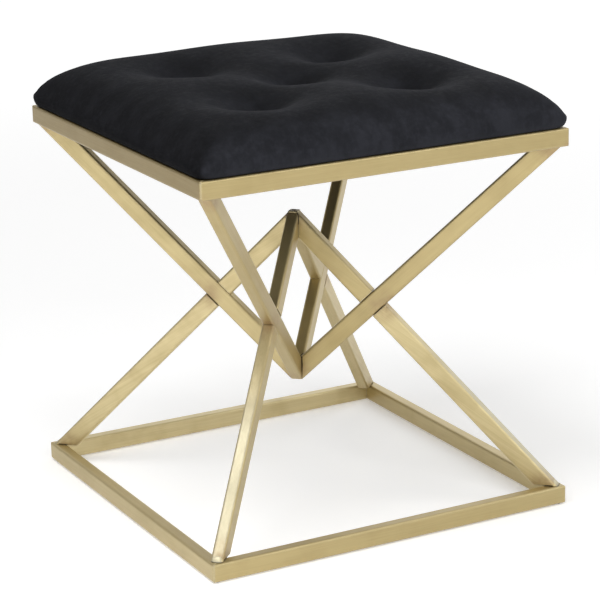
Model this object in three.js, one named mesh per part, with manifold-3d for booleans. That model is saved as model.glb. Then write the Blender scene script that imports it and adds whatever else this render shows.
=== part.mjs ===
// Stool with a double pyramid frame of rectangular tube and a tufted velvet seat.
// Millimetres, Z up, front towards -Y. The origin is the centre of the footprint on the floor.
import * as THREE from "three";
import { mergeVertices } from "three/addons/utils/BufferGeometryUtils.js";
import Module from "manifold-3d";

const wasm = await Module();
wasm.setup();

// Frame: two square frames of tube, eight crossing legs and four struts
const frameSpan = 410; // outside width and depth of both square frames
const frameHeight = 400; // underside of the base frame to the top of the seat frame
const tubeDepth = 19; // side of the tube that stands upright in the rails
const tubeWidth = 13; // side of the tube that lies flat in the rails
const tubeWall = 1.2;
const tubeEdgeRadius = 2.5;
const frameCornerRadius = 2.5; // the upright outer corners of both frames are ground round
const lowerApexRise = 110; // where the undersides of the upper legs meet on the axis
const upperApexRise = 304; // where the top faces of the struts meet on the axis
const legSetback = 8.3; // from a frame corner to the outer face of its leg, along the diagonal
const lowerTipFlat = 13; // the two apexes are ground flat over this width
const upperTipFlat = 8;

// Clearance between pieces that touch, and the reach of every cutting block
const fitGap = 0.3;
const cutReach = (frameSpan + frameHeight) * 2;

// Glides under the base corners
const glideDiameter = 6.5;
const glideThickness = 0.8;
const glideBevel = 0.2;

// Tabs inside the seat frame, and the screws that hold the seat to them
const tabWidth = 32;
const tabReach = 20;
const tabThickness = 2.5;
const tabCornerRadius = 5;
const tabHoleInset = 10;
const tabHoleDiameter = 5;
const screwDiameter = 4;
const screwHeadDiameter = 8;
const screwHeadHeight = 2.4;
const screwDepthInBoard = 8;
const screwTipLength = 2;

// Seat board and the sheets under it
const boardThickness = 12;
const boardInset = 5.5; // from the cushion's base edge to the board's edge
const boardCornerRadius = 16;
const coverThickness = 1;
const coverTurnUnder = 35; // width of the cover's margin that is folded under the board
const coverTurnCornerRadius = 14;
const dustCoverThickness = 0.6;
const dustCoverInset = 2;
const dustCoverCornerRadius = 6;

// Cushion
const baseMargin = 1.5; // strip of seat rail left bare around the cushion
const sideBulge = 3.5; // how far the sides swell out past the base
const bulgeRise = 9;
const shoulderInset = 5.5; // from the widest line in to where the crown begins
const baseCornerRadius = 14.5;
const bulgeCornerRadius = 20;
const shoulderCornerRadius = 22;
const cornerFadeLength = 90; // the crown's corners turn square over this length
const crownRise = 58.3;
const crownFall = 71.5;
const crownOverhang = 2;
const crownPower = 5.8;
const crownEdgePower = 0.39;

// Tufts: one in the middle and four around it
const tuftPitch = 86; // from the centre line to an outer tuft, both ways
const tuftDepth = 38;
const tuftReach = 43.5;
const tuftPower = 1.35;
const twineDiameter = 1.5;
const tuftHoleDiameter = 6;
const washerDiameter = 20;
const washerThickness = 1;

// The crown's grid lines, as shares of the way out to the tufts and from there to the shoulder
const innerLineShares = [0, 0.25, 0.5, 0.75, 1];
const outerLineShares = [0.22, 0.46, 0.7, 0.88, 1];

// Round corners and round parts
const cornerSegments = 3;
const roundSegments = 20;

// Heights worked out from the sizes above
const baseLevel = glideThickness + fitGap;
const baseTop = baseLevel + tubeDepth;
const seatFrameTop = baseLevel + frameHeight;
const seatFrameUnderside = seatFrameTop - tubeDepth;
const cushionBase = seatFrameTop + fitGap;
const boardUnderside = cushionBase + coverThickness + fitGap;
const dustCoverTop = cushionBase - fitGap;
const tabTop = dustCoverTop - dustCoverThickness - fitGap;
const washerUnderside = dustCoverTop + (boardUnderside - dustCoverTop - washerThickness) / 2;

// Half spans worked out from the sizes above
const frameHalf = frameSpan / 2;
const railInner = frameHalf - tubeWidth;
const cushionBaseHalf = frameHalf - baseMargin;
const bulgeHalf = cushionBaseHalf + sideBulge;
const shoulderHalf = bulgeHalf - shoulderInset;
const crownHalf = bulgeHalf + crownOverhang;
const boardHalf = cushionBaseHalf - boardInset;
const screwOffset = railInner - tabHoleInset;
const tufts = [
  ["middle", 0, 0],
  ["front_left", -tuftPitch, -tuftPitch],
  ["front_right", tuftPitch, -tuftPitch],
  ["back_right", tuftPitch, tuftPitch],
  ["back_left", -tuftPitch, tuftPitch],
];

// Materials
function material(color, roughness, metalness) {
  return new THREE.MeshStandardMaterial({ color, roughness, metalness });
}
const champagneGold = material(0xcdbe91, 0.34, 1);
const blackVelvet = material(0x15161c, 1, 0);
const foam = material(0xe6dcc2, 0.95, 0);
const plywood = material(0xc9a272, 0.7, 0);
const blackSheet = material(0x1b1b1d, 0.95, 0);
const blackNylon = material(0x26262a, 0.6, 0);
const zincSteel = material(0xb9bcc0, 0.4, 1);
const tuftThread = material(0xd9d3c4, 0.9, 0);

// Closed meshes to solids for cutting, and back
function solidOf(geometry) {
  const plain = geometry.clone();
  plain.deleteAttribute("normal");
  plain.deleteAttribute("uv");
  const merged = mergeVertices(plain);
  return new wasm.Manifold(new wasm.Mesh({
    numProp: 3,
    vertProperties: merged.attributes.position.array,
    triVerts: new Uint32Array(merged.index.array),
  }));
}

function geometryOf(solid) {
  const mesh = solid.getMesh();
  const geometry = new THREE.BufferGeometry();
  geometry.setAttribute("position", new THREE.BufferAttribute(mesh.vertProperties, 3));
  geometry.setIndex(new THREE.BufferAttribute(mesh.triVerts, 1));
  geometry.computeVertexNormals();
  return geometry;
}

// A block that covers everything past a plane, on the side that its normal points to
function blockPast(point, normal) {
  const block = new THREE.BoxGeometry(cutReach, cutReach, cutReach);
  block.translate(0, 0, cutReach / 2);
  block.applyQuaternion(new THREE.Quaternion().setFromUnitVectors(new THREE.Vector3(0, 0, 1), normal));
  block.translate(point.x, point.y, point.z);
  return solidOf(block);
}

function cutAll(solid, cutters) {
  return cutters.reduce((rest, cutter) => rest.subtract(cutter), solid);
}

// A rectangle with round corners, between two opposite corners
function roundedRectangle(outline, x0, y0, x1, y1, radius) {
  const r = Math.min(radius, (x1 - x0) / 2, (y1 - y0) / 2);
  outline.moveTo(x0 + r, y0);
  outline.lineTo(x1 - r, y0);
  outline.absarc(x1 - r, y0 + r, r, -Math.PI / 2, 0, false);
  outline.lineTo(x1, y1 - r);
  outline.absarc(x1 - r, y1 - r, r, 0, Math.PI / 2, false);
  outline.lineTo(x0 + r, y1);
  outline.absarc(x0 + r, y1 - r, r, Math.PI / 2, Math.PI, false);
  outline.lineTo(x0, y0 + r);
  outline.absarc(x0 + r, y0 + r, r, Math.PI, Math.PI * 1.5, false);
  return outline;
}

function roundedSquare(half, radius) {
  return roundedRectangle(new THREE.Shape(), -half, -half, half, half, radius);
}

function addHole(shape, x, y, diameter) {
  const hole = new THREE.Path();
  hole.absarc(x, y, diameter / 2, 0, Math.PI * 2, true);
  shape.holes.push(hole);
}

// An upright plate from a flat outline
function plate(shape, underside, thickness, segments) {
  const geometry = new THREE.ExtrudeGeometry(shape, {
    depth: thickness,
    bevelEnabled: false,
    curveSegments: segments,
  });
  geometry.translate(0, 0, underside);
  return geometry;
}

// A turned part about the Z axis, from [radius, height] pairs
function turned(profile) {
  const points = profile.map(([radius, height]) => new THREE.Vector2(radius, height));
  const geometry = new THREE.LatheGeometry(points, roundSegments);
  geometry.rotateX(Math.PI / 2);
  return geometry;
}

function upright(diameter, bottom, top) {
  return turned([[0, bottom], [diameter / 2, bottom], [diameter / 2, top], [0, top]]);
}

function placed(geometry, x, y) {
  return geometry.clone().translate(x, y, 0);
}

function piece(name, geometry, look) {
  const mesh = new THREE.Mesh(geometry, look);
  mesh.name = name;
  return mesh;
}

// Rectangular tube
// The section's outer face lies on x = 0 and the tube's body on the side of -x.
function tubeSection() {
  const section = roundedRectangle(
    new THREE.Shape(), -tubeDepth, -tubeWidth / 2, 0, tubeWidth / 2, tubeEdgeRadius);
  const bore = roundedRectangle(
    new THREE.Path(), -tubeDepth + tubeWall, -tubeWidth / 2 + tubeWall, -tubeWall, tubeWidth / 2 - tubeWall,
    Math.max(tubeEdgeRadius - tubeWall, tubeWall / 2));
  section.holes.push(bore);
  return section;
}

function straightTube(length) {
  return new THREE.ExtrudeGeometry(tubeSection(), {
    depth: length,
    bevelEnabled: false,
    curveSegments: cornerSegments,
  });
}

// A rail of a square frame, lying along X on the side of -Y with its underside at z = 0
// Its ends are mitred by drawing each point back to the corner's diagonal.
function mitredRail() {
  const rail = straightTube(frameSpan);
  rail.rotateY(Math.PI / 2);
  rail.translate(-frameHalf, -frameHalf + tubeWidth / 2, 0);
  const points = rail.attributes.position;
  for (let i = 0; i < points.count; i += 1) {
    const end = Math.sign(points.getX(i));
    points.setX(i, end * (-points.getY(i) - fitGap / Math.SQRT2));
  }
  const ground = plate(
    roundedSquare(frameHalf, frameCornerRadius), -tubeWall, tubeDepth + tubeWall * 2, cornerSegments);
  return geometryOf(solidOf(rail).intersect(solidOf(ground)));
}

// Legs and struts stand in the upright plane of a diagonal: X runs out along it from the axis.
// Both legs of a corner meet its rails where their outer faces come out at this distance.
const legReach = frameHalf * Math.SQRT2 - legSetback;
const lowerApex = new THREE.Vector3(0, 0, baseLevel + lowerApexRise);
const upperApex = new THREE.Vector3(0, 0, baseLevel + upperApexRise);
const upperFoot = new THREE.Vector3(legReach, 0, seatFrameUnderside);
const lowerFoot = new THREE.Vector3(legReach, 0, baseTop);
const up = new THREE.Vector3(0, 0, 1);
const down = new THREE.Vector3(0, 0, -1);
const across = new THREE.Vector3(0, 1, 0);

// The normal of a leg's underside
function undersideNormal(apex, foot) {
  const along = foot.clone().sub(apex).normalize();
  return new THREE.Vector3().crossVectors(across, along);
}
const underNormal = undersideNormal(lowerApex, upperFoot);
const topNormal = undersideNormal(upperApex, lowerFoot).negate();

// A tube whose outer face runs through two points, made too long at both ends
function slopedTube(apex, foot, normal) {
  const along = foot.clone().sub(apex).normalize();
  const side = new THREE.Vector3().crossVectors(along, normal);
  const length = apex.distanceTo(foot) + tubeDepth * 4;
  const start = apex.clone().addScaledVector(along, -tubeDepth * 2);
  const geometry = straightTube(length);
  geometry.applyMatrix4(new THREE.Matrix4().makeBasis(normal, side, along).setPosition(start));
  return solidOf(geometry);
}

// The bars at an apex are mitred to each other on two upright planes.
function apexMitres() {
  return [1, -1].map((side) => {
    const normal = new THREE.Vector3(-1, side, 0).normalize();
    return blockPast(normal.clone().multiplyScalar(-fitGap / 2), normal);
  });
}

function heightOnFace(apex, foot, reach) {
  return apex.z + (foot.z - apex.z) * (reach / foot.x);
}

function upperLeg() {
  const tip = heightOnFace(lowerApex, upperFoot, lowerTipFlat / 2);
  return geometryOf(cutAll(slopedTube(lowerApex, upperFoot, underNormal), [
    ...apexMitres(),
    blockPast(new THREE.Vector3(0, 0, tip), down),
    blockPast(new THREE.Vector3(0, 0, seatFrameUnderside - fitGap), up),
  ]));
}

// The lower leg stops on the underside of the upper leg.
function lowerLeg() {
  const seat = lowerApex.clone().addScaledVector(underNormal, fitGap);
  return geometryOf(cutAll(slopedTube(upperApex, lowerFoot, topNormal), [
    blockPast(seat, underNormal.clone().negate()),
    blockPast(new THREE.Vector3(0, 0, baseTop + fitGap), down),
  ]));
}

// The strut carries on from the upper leg's other face to the upper apex.
function apexStrut() {
  const seat = lowerApex.clone().addScaledVector(underNormal, -tubeDepth - fitGap);
  const tip = heightOnFace(upperApex, lowerFoot, upperTipFlat / 2);
  return geometryOf(cutAll(slopedTube(upperApex, lowerFoot, topNormal), [
    blockPast(seat, underNormal),
    ...apexMitres(),
    blockPast(new THREE.Vector3(0, 0, tip), up),
  ]));
}

function glide() {
  const radius = glideDiameter / 2;
  return turned([
    [0, 0],
    [radius - glideBevel, 0],
    [radius, glideBevel],
    [radius, glideThickness],
    [0, glideThickness],
  ]);
}

// A screw tab inside the seat rail on the side of -Y
function seatTab() {
  const outer = -railInner + fitGap;
  const shape = roundedRectangle(
    new THREE.Shape(), -tabWidth / 2, outer - tabCornerRadius, tabWidth / 2, outer + tabReach, tabCornerRadius);
  addHole(shape, 0, -screwOffset, tabHoleDiameter);
  const tab = solidOf(plate(shape, tabTop - tabThickness, tabThickness, cornerSegments * 2));
  return geometryOf(tab.subtract(blockPast(new THREE.Vector3(0, outer, 0), across.clone().negate())));
}

// Screws stand on the middle of each side, in holes through every layer up into the board.
const screwPlaces = [[0, -screwOffset], [screwOffset, 0], [0, screwOffset], [-screwOffset, 0]];

function screwRooms() {
  const room = upright(screwDiameter + fitGap * 2, tabTop, boardUnderside + screwDepthInBoard + fitGap);
  return screwPlaces.map(([x, y]) => solidOf(placed(room, x, y)));
}

function seatScrew() {
  const headTop = tabTop - tabThickness - fitGap;
  const tip = boardUnderside + screwDepthInBoard;
  return turned([
    [0, headTop - screwHeadHeight],
    [screwHeadDiameter / 4, headTop - screwHeadHeight],
    [screwHeadDiameter / 2, headTop - screwHeadHeight / 2],
    [screwHeadDiameter / 2, headTop],
    [screwDiameter / 2, headTop],
    [screwDiameter / 2, tip - screwTipLength],
    [0, tip],
  ]);
}

function seatBoard() {
  const shape = roundedSquare(boardHalf, boardCornerRadius);
  for (const [, x, y] of tufts) {
    addHole(shape, x, y, tuftHoleDiameter);
  }
  const board = plate(shape, boardUnderside, boardThickness, cornerSegments * 2);
  return geometryOf(cutAll(solidOf(board), screwRooms()));
}

function dustCover() {
  const shape = roundedSquare(railInner - dustCoverInset, dustCoverCornerRadius);
  const sheet = plate(shape, dustCoverTop - dustCoverThickness, dustCoverThickness, cornerSegments);
  return geometryOf(cutAll(solidOf(sheet), screwRooms()));
}

// The tuft ties: a washer under the board and a twine up to the cover
function tuftWasher() {
  const shape = new THREE.Shape();
  shape.absarc(0, 0, washerDiameter / 2, 0, Math.PI * 2, false);
  addHole(shape, 0, 0, twineDiameter + fitGap * 2);
  return plate(shape, washerUnderside, washerThickness, cornerSegments * 2);
}

function tuftTwine(x, y) {
  return upright(twineDiameter, washerUnderside, crownHeight(x, y) - coverThickness - fitGap);
}

// The crown falls off evenly to all four sides, and each tuft draws it down.
function crownHeight(x, y) {
  const fallX = Math.max(0, 1 - Math.abs(x / crownHalf) ** crownPower);
  const fallY = Math.max(0, 1 - Math.abs(y / crownHalf) ** crownPower);
  const dome = crownRise - crownFall * (1 - (fallX * fallY) ** crownEdgePower);
  const pull = tufts
    .map(([, tx, ty]) => Math.hypot(x - tx, y - ty) / tuftReach)
    .map((reach) => tuftDepth * Math.exp(-(reach ** tuftPower)))
    .reduce((sum, depth) => sum + depth);
  return seatFrameTop + dome - pull;
}

// Moves a point of a square outline onto the same outline with round corners
function roundCorner(x, y, radius) {
  const half = Math.max(Math.abs(x), Math.abs(y));
  const straight = half - Math.min(radius, half);
  const dx = Math.abs(x) - straight;
  const dy = Math.abs(y) - straight;
  if (dx <= 0 || dy <= 0) {
    return [x, y];
  }
  const reach = (half - straight) / Math.hypot(dx, dy);
  return [Math.sign(x) * (straight + dx * reach), Math.sign(y) * (straight + dy * reach)];
}

// The closed form of the cushion, drawn in on all sides by an inset
// A grid makes the crown, and two bands of faces make the swelling side down to the flat base.
function cushionForm(inset) {
  const lines = [
    ...innerLineShares.map((share) => share * tuftPitch),
    ...outerLineShares.map((share) => tuftPitch + share * (shoulderHalf - tuftPitch)),
  ];
  const reach = lines.length - 1;
  const rowLength = reach * 2 + 1;
  const at = (i) => Math.sign(i) * lines[Math.abs(i)];
  const shrink = 1 - inset / bulgeHalf;
  const points = [];
  const faces = [];

  for (let j = -reach; j <= reach; j += 1) {
    for (let i = -reach; i <= reach; i += 1) {
      const half = lines[Math.max(Math.abs(i), Math.abs(j))];
      const fade = Math.max(0, 1 - (shoulderHalf - half) / cornerFadeLength);
      const [x, y] = roundCorner(at(i), at(j), shoulderCornerRadius * fade);
      points.push([x * shrink, y * shrink, crownHeight(x, y) - inset]);
    }
  }
  const index = (i, j) => (j + reach) * rowLength + i + reach;
  for (let j = -reach; j < reach; j += 1) {
    for (let i = -reach; i < reach; i += 1) {
      const [a, b, c, d] = [index(i, j), index(i + 1, j), index(i + 1, j + 1), index(i, j + 1)];
      const rising = (i < 0) === (j < 0);
      faces.push(...(rising ? [[a, b, c], [a, c, d]] : [[a, b, d], [b, c, d]]));
    }
  }

  // The rim of the grid, anticlockwise from its front left corner
  const rim = [];
  for (let k = -reach; k < reach; k += 1) rim.push([k, -reach]);
  for (let k = -reach; k < reach; k += 1) rim.push([reach, k]);
  for (let k = reach; k > -reach; k -= 1) rim.push([k, reach]);
  for (let k = reach; k > -reach; k -= 1) rim.push([-reach, k]);

  const sideRings = [
    { half: bulgeHalf, radius: bulgeCornerRadius, height: seatFrameTop + bulgeRise },
    { half: cushionBaseHalf, radius: baseCornerRadius, height: cushionBase + inset },
  ];
  let upper = rim.map(([i, j]) => index(i, j));
  for (const ring of sideRings) {
    const widen = ring.half / shoulderHalf;
    const lower = rim.map(([i, j]) => {
      const [x, y] = roundCorner(at(i) * widen, at(j) * widen, ring.radius);
      return points.push([x * shrink, y * shrink, ring.height]) - 1;
    });
    upper.forEach((point, k) => {
      const next = (k + 1) % upper.length;
      faces.push([lower[k], lower[next], upper[next]], [lower[k], upper[next], point]);
    });
    upper = lower;
  }

  const middle = points.push([0, 0, cushionBase + inset]) - 1;
  upper.forEach((point, k) => faces.push([middle, upper[(k + 1) % upper.length], point]));

  const geometry = new THREE.BufferGeometry();
  geometry.setAttribute("position", new THREE.Float32BufferAttribute(points.flat(), 3));
  geometry.setIndex(faces.flat());
  return solidOf(geometry);
}

// The cover is a skin over the whole cushion, open under the board inside its turned margin.
function seatCover() {
  const opening = plate(
    roundedSquare(cushionBaseHalf - coverTurnUnder, coverTurnCornerRadius),
    cushionBase - coverThickness, coverThickness * 3, cornerSegments);
  const cutters = [cushionForm(coverThickness), solidOf(opening), ...screwRooms()];
  return geometryOf(cutAll(cushionForm(0), cutters));
}

// The foam fills the cover and wraps the board's edges.
function foamPad() {
  const boardRoom = plate(
    roundedSquare(boardHalf + fitGap, boardCornerRadius + fitGap),
    cushionBase - coverThickness, boardUnderside + boardThickness + fitGap - cushionBase + coverThickness,
    cornerSegments * 2);
  const twineRooms = tufts.map(([, x, y]) => {
    return solidOf(placed(upright(twineDiameter + fitGap * 2, boardUnderside, crownHeight(x, y)), x, y));
  });
  return geometryOf(cutAll(cushionForm(coverThickness + fitGap), [solidOf(boardRoom), ...twineRooms]));
}

// Assembly: what repeats is made once and turned to each side or corner.
const stool = new THREE.Group();

const railForm = mitredRail();
const tabForm = seatTab();
const screwForm = seatScrew();
["front", "right", "back", "left"].forEach((side, turn) => {
  const baseRail = piece(`base_rail_${side}`, railForm, champagneGold);
  baseRail.position.z = baseLevel;
  const seatRail = piece(`seat_rail_${side}`, railForm, champagneGold);
  seatRail.position.z = seatFrameUnderside;
  const screw = piece(`seat_screw_${side}`, screwForm, zincSteel);
  screw.position.y = -screwOffset;
  const group = new THREE.Group();
  group.rotation.z = turn * Math.PI / 2;
  group.add(baseRail, seatRail, piece(`seat_tab_${side}`, tabForm, champagneGold), screw);
  stool.add(group);
});

const upperLegForm = upperLeg();
const lowerLegForm = lowerLeg();
const strutForm = apexStrut();
const glideForm = glide();
["back_right", "back_left", "front_left", "front_right"].forEach((corner, turn) => {
  const foot = piece(`floor_glide_${corner}`, glideForm, blackNylon);
  foot.position.x = (frameHalf - tubeWidth / 2) * Math.SQRT2;
  const group = new THREE.Group();
  group.rotation.z = (turn + 0.5) * Math.PI / 2;
  group.add(
    piece(`upper_leg_${corner}`, upperLegForm, champagneGold),
    piece(`lower_leg_${corner}`, lowerLegForm, champagneGold),
    piece(`apex_strut_${corner}`, strutForm, champagneGold),
    foot);
  stool.add(group);
});

stool.add(
  piece("seat_board", seatBoard(), plywood),
  piece("foam_pad", foamPad(), foam),
  piece("seat_cover", seatCover(), blackVelvet),
  piece("dust_cover", dustCover(), blackSheet));

const washerForm = tuftWasher();
for (const [place, x, y] of tufts) {
  const tie = new THREE.Group();
  tie.position.set(x, y, 0);
  tie.add(
    piece(`tuft_washer_${place}`, washerForm, zincSteel),
    piece(`tuft_twine_${place}`, tuftTwine(x, y), tuftThread));
  stool.add(tie);
}

export default stool;
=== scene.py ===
"""Looks for a square stool: a tufted velvet seat on a double pyramid frame of brushed gold tube."""

import math

import bpy
import numpy as np
from bpy.props import FloatProperty, FloatVectorProperty, PointerProperty
from mathutils import Matrix, Vector


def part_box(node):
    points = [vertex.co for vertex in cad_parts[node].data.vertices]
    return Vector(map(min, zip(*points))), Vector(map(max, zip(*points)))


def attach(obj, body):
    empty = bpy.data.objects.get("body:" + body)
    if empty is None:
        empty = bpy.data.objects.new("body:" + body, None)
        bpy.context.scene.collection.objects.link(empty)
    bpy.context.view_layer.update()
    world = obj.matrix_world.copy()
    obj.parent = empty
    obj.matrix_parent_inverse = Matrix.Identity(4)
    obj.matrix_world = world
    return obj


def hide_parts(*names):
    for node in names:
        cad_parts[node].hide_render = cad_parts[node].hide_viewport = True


bl_info = {
    "name": "Double Pyramid Stool",
    "version": (1, 0, 0),
    "blender": (4, 5, 0),
    "location": "3D View > Sidebar > Stool",
    "description": "Finishes the stool's frame, seat and fittings and sets the stool on a pale stage",
    "category": "Object",
}

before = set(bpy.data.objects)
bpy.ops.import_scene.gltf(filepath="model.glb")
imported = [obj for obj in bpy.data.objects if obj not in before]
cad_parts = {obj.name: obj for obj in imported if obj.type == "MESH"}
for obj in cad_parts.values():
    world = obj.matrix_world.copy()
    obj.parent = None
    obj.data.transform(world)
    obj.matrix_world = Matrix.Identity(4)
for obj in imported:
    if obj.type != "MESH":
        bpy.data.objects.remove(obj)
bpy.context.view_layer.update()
MM = 0.001

SIDES = ("front", "right", "back", "left")
# Each corner's side of both axes, in quarter turns from the back right one
CORNERS = {
    "back_right": (1, 1),
    "back_left": (-1, 1),
    "front_left": (-1, -1),
    "front_right": (1, -1),
}
# Each tuft's place and depth in millimetres, a little nearer to the front than an even grid has it
TUFTS = {
    "middle": (1.1, -7.4, 34.0),
    "front_left": (-88.2, -91.7, 37.5),
    "back_left": (-85.2, 76.3, 31.5),
    "back_right": (87.6, 75.3, 33.5),
    "front_right": (84.3, -92.1, 38.0),
}
# How deep the gold of each tube is painted, as painted shade (painted light below 0): a side's base rail and
# seat rail, and a corner's upper leg, lower leg and strut
RAIL_PAINTED_SHADES = {"front": (0.65, 0.85), "back": (-0.7, 0.5), "left": (0.6, 2.9), "right": (0.15, 0.9)}
LEG_PAINTED_SHADES = {
    "back_right": (0.4, -0.1, 0.7),
    "back_left": (0.1, -0.7, -0.3),
    "front_left": (0.65, 0.0, 0.1),
    "front_right": (0.7, -0.55, 0.5),
}
BASE_RAIL_LOW, BASE_RAIL_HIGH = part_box("base_rail_front")
SEAT_RAIL_LOW, SEAT_RAIL_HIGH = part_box("seat_rail_front")
COVER_LOW, COVER_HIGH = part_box("seat_cover")
BOARD_LOW, BOARD_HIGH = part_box("seat_board")
DUST_LOW, DUST_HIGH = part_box("dust_cover")
FRAME_HALF = -BASE_RAIL_LOW.y
TUBE_WIDTH = BASE_RAIL_HIGH.y - BASE_RAIL_LOW.y
TUBE_DEPTH = BASE_RAIL_HIGH.z - BASE_RAIL_LOW.z
SHOULDER = COVER_HIGH.x - 5.5 * MM
UP = Vector((0, 0, 1))
SHARP_ANGLE = math.radians(40)

# Where the sloped tubes meet: distances from the stool's axis, and heights
CROSSING_REACH, HEAD_REACH, FOOT_REACH = 98.2 * MM, 272 * MM, 268 * MM
CROSSING_HEIGHT = 205.6 * MM
LOWER_APEX, UPPER_APEX = UP * 124 * MM, UP * 300 * MM
RAIL_WELD_REACH = 11 * MM
# Each apex's seam of painted shade: its lowest and highest point, and its half width at both
LOWER_SEAM = (117 * MM, 142 * MM, 0.1 * MM, 0.75 * MM)
UPPER_SEAM = (288 * MM, 300 * MM, 0.2 * MM, 0.55 * MM)
# The painted shade of the slit at a lower leg's foot: where it begins, is full, fades and ends, and its
# height over the rail
SLIT_REACHES = (264 * MM, 269 * MM, 277.5 * MM, 279.5 * MM)
SLIT_HEIGHTS = (0.9 * MM, 1.5 * MM)
# Each kind of weld lump: its half sizes, the depth and number of its ripples, its distance from the axis,
# its height, and the level that its underside is cut off at
LUMPS = {
    "foot_weld": (
        (3.0 * MM, 6.6 * MM, 6.2 * MM), 0.025, 5.0, 277.7 * MM, 20.6 * MM, BASE_RAIL_HIGH.z + 0.1 * MM),
    "apex_bead": ((0.75 * MM, 5.6 * MM, 0.8 * MM), 0.16, 9.0, 4.7 * MM, 300.1 * MM, 0),
}
STAPLE_PLACES = (-165, -120, -72, -24, 24, 72, 120, 165)
CLOTH = {
    "quality": 4,
    "mass": 0.25,
    "tension_stiffness": 12,
    "compression_stiffness": 12,
    "shear_stiffness": 6,
    "bending_stiffness": 1.2,
    "use_pressure": True,
    "uniform_pressure_force": 4,
}

# Colours on the tubes beside the gold itself: edge wear with a painted highlight, a painted highlight, heat
# marks and painted gap shade; and the heights between which that painted highlight fades
EDGE_WEAR_AND_HIGHLIGHT = (0.78, 0.70, 0.47, 1)
PAINTED_HIGHLIGHT = (0.50, 0.49, 0.39, 1)
HEAT_MARK = (0.40, 0.285, 0.15, 1)
GAP_SHADE = (0.03, 0.018, 0.007, 1)
PAINTED_HIGHLIGHT_HEIGHTS = (110 * MM, 180 * MM)

# Each lamp's place, the point that it faces, its width and height, and its power in watts
LAMPS = {
    "overhead_softbox": ((-1.05, -0.2, 2.35), (-0.15, -0.1, 0.2), (1.4, 1.4), 27),
    "overhead_right_softbox": ((1.15, -0.75, 2.25), (0, 0, 0.3), (0.7, 0.7), 5),
    "front_right_softbox": ((1.7, -2.3, 1.7), (0, 0, 0.3), (1.2, 1.2), 14),
    "front_softbox": ((0.0, -2.8, 1.9), (0, 0, 0.3), (1.4, 1.2), 22),
    "front_left_softbox": ((-1.9, -2.0, 1.7), (0, 0, 0.3), (1.2, 1.2), 15),
    "right_softbox": ((2.7, 0.3, 1.7), (0, 0, 0.3), (1.2, 1.2), 6),
    "back_softbox": ((1.8, 2.2, 1.9), (0, 0, 0.3), (1.2, 1.2), 3),
}


# Settings
class StoolMetalSettings(bpy.types.PropertyGroup):
    """Finish of the tubes, tabs, screws and washers."""

    gold: FloatVectorProperty(
        name="Gold", description="Colour of the plated tube", subtype="COLOR", size=3,
        min=0, max=1, default=(0.556, 0.456, 0.234))
    deep_gold: FloatVectorProperty(
        name="Deep Gold", description="Colour of the darker patches and welds", subtype="COLOR", size=3,
        min=0, max=1, default=(0.448, 0.354, 0.162))
    roughness: FloatProperty(
        name="Roughness", description="Mean roughness of the brushed face", subtype="FACTOR",
        min=0.05, max=1, default=0.49)
    brush_pitch: FloatProperty(
        name="Brush Pitch", description="Mean distance between two brush lines", unit="LENGTH",
        min=0.0001, max=0.01, default=0.8 * MM)
    brush_length: FloatProperty(
        name="Brush Length", description="Mean length of a brush line", unit="LENGTH",
        min=0.001, max=0.5, default=45 * MM)
    weld_reach: FloatProperty(
        name="Weld Reach", description="How far the heat mark of a weld spreads", unit="LENGTH",
        min=0.001, max=0.1, default=24 * MM)


class StoolSeatSettings(bpy.types.PropertyGroup):
    """Form and finish of the seat."""

    velvet: FloatVectorProperty(
        name="Velvet", description="Colour of the pile", subtype="COLOR", size=3,
        min=0, max=1, default=(0.0049, 0.0051, 0.0061))
    # The tips colour is painted light, added on the faces turned to the front.
    tips: FloatVectorProperty(
        name="Tips", description="What the pile's tips add to the colour on the side that they lean to",
        subtype="COLOR", size=3, min=0, max=1, default=(0.0172, 0.0180, 0.0224))
    sheen: FloatVectorProperty(
        name="Sheen", description="Colour of the light that the pile throws back", subtype="COLOR", size=3,
        min=0, max=1, default=(0.50, 0.53, 0.68))
    lean: FloatVectorProperty(
        name="Lean", description="How far the pile leans along each axis", subtype="XYZ", size=3,
        min=-1, max=1, default=(0.55, -0.25, -0.10))
    # The side that the painted light of the tips falls on.
    painted_light_side: FloatVectorProperty(
        name="Nap", description="Side on which the pile shows its tips", subtype="XYZ", size=3,
        min=-1, max=1, default=(0.34, -0.90, -0.10))
    crown_rise: FloatProperty(
        name="Crown Rise", description="Height of the crown over the seat frame", unit="LENGTH",
        min=0, max=0.2, default=58.8 * MM)
    crown_fall: FloatProperty(
        name="Crown Fall", description="How far the crown would fall at its very edge", unit="LENGTH",
        min=0, max=0.2, default=73.3 * MM)
    tuft_reach: FloatProperty(
        name="Tuft Reach", description="How wide a tuft's hollow spreads", unit="LENGTH",
        min=0.001, max=0.2, default=45.8 * MM)
    tuft_point: FloatProperty(
        name="Tuft Point", description="Low values draw a tuft to a point, high ones make it a bowl",
        min=0.5, max=6, default=1.38)
    corner_lift: FloatProperty(
        name="Corner Lift", description="How much fuller the seat is at its four corners", unit="LENGTH",
        min=0, max=0.05, default=9 * MM)
    swell: FloatProperty(
        name="Swell", description="How far the pressed foam pushes the cover out", unit="LENGTH",
        min=0, max=0.02, default=2.5 * MM)
    swell_play: FloatProperty(
        name="Swell Play", description="How much the swell may differ from place to place", unit="LENGTH",
        min=0, max=0.02, default=2 * MM)


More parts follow.
